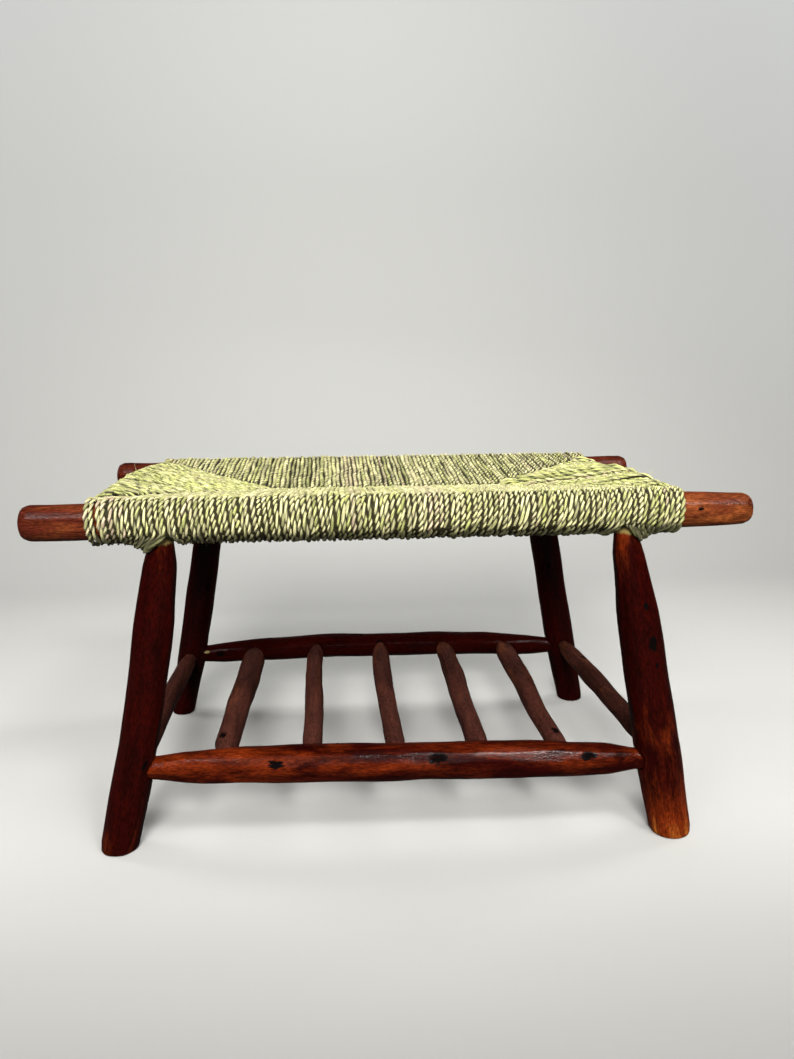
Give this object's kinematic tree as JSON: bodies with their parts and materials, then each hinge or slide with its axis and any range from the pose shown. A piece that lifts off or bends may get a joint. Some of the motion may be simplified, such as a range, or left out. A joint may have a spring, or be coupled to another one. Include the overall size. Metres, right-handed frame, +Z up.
{
  "type": "woven seat bench",
  "caption": "Low bench of shaved and stained poles with splayed legs, a slatted shelf near the floor and a seat of twisted cord wound over its frame in mitred panels.",
  "frame": {"origin": "on the floor, below the middle of the bench", "axes": "+X along the seat towards its right end as seen from the front, +Y from front to back, +Z up"},
  "size_m": [0.83, 0.4763, 0.4315],
  "materials": {
    "stained_wood": "dark red-brown stain under gloss varnish, with amber patches where it is worn",
    "shelf_wood": "thin brown stain under satin varnish",
    "seat_cord": "two-ply twisted grass cord, pale yellow-green with straw strands"
  },
  "bodies": {
    "root": {"front_seat_rail": "stained_wood", "back_seat_rail": "stained_wood", "left_end_rail": "stained_wood", "right_end_rail": "stained_wood", "front_left_leg": "stained_wood", "front_right_leg": "stained_wood", "back_left_leg": "stained_wood", "back_right_leg": "stained_wood", "front_stretcher": "stained_wood", "back_stretcher": "stained_wood", "left_stretcher": "shelf_wood", "right_stretcher": "shelf_wood", "shelf_slat_1": "shelf_wood", "shelf_slat_2": "shelf_wood", "shelf_slat_3": "shelf_wood", "shelf_slat_4": "shelf_wood", "shelf_slat_5": "shelf_wood", "front_weave": "seat_cord", "back_weave": "seat_cord", "left_weave": "seat_cord", "right_weave": "seat_cord"}
  },
  "joints": []
}
